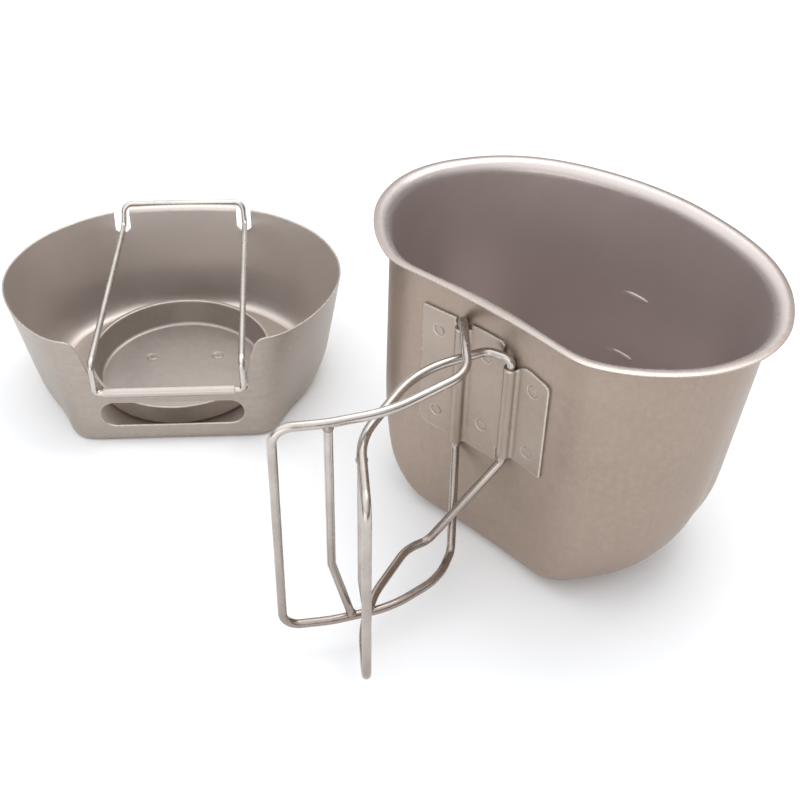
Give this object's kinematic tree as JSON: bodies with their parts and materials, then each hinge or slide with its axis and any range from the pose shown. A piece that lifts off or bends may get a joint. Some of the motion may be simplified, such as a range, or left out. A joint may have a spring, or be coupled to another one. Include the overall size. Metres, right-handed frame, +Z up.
{
  "type": "camping cook pot set",
  "caption": "Kidney-shaped metal camp cup with folding wire handles, beside a matching open stove stand with a hinged wire bail and a fuel dish.",
  "frame": {"origin": "centre of the cup's flat base, on the surface it stands on", "axes": "+X along the cup's long side, -Y from the cup towards its handles, +Z up"},
  "size_m": [0.2953, 0.1801, 0.108],
  "materials": {
    "cup_sheet": "bead-blasted, matte warm grey",
    "bracket_sheet": "bead-blasted, matte",
    "spot_weld": "matte, slightly darker",
    "handle_wire": "drawn wire, satin",
    "weld_bead": "satin",
    "stove_sheet": "bead-blasted, matte warm grey",
    "dish_sheet": "bead-blasted, matte",
    "bail_wire": "drawn wire, satin"
  },
  "bodies": {
    "cup": {"cup_shell": "cup_sheet", "handle_bracket": "bracket_sheet", "bracket_spot_welds": "spot_weld"},
    "left_handle": {"left_handle_loop": "handle_wire", "left_handle_brace": "handle_wire", "left_brace_welds": "weld_bead"},
    "right_handle": {"right_handle_loop": "handle_wire", "right_handle_brace": "handle_wire", "right_brace_welds": "weld_bead"},
    "stove": {"stove_shell": "stove_sheet", "fuel_dish": "dish_sheet", "dish_spot_welds": "spot_weld"},
    "bail": {"bail_loop": "bail_wire"}
  },
  "joints": [
    {"name": "left_handle_hinge", "type": "hinge", "parent": "cup", "child": "left_handle", "pos_m": [-0.0113, -0.04603, 0.068], "axis": [0, 0, 1], "range_deg": [-120, 1]},
    {"name": "right_handle_hinge", "type": "hinge", "parent": "cup", "child": "right_handle", "pos_m": [0.0098, -0.0459, 0.068], "axis": [0, 0, 1], "range_deg": [-1, 111]},
    {"name": "stove_lift", "type": "slide", "parent": "cup", "child": "stove", "axis": [0, 0, 1], "range_m": [0, 0.12]},
    {"name": "bail_hinge", "type": "hinge", "parent": "stove", "child": "bail", "pos_m": [-0.12269, -0.08749, 0.0253], "axis": [0.6717, 0.7408, 0], "range_deg": [0, 177]}
  ]
}
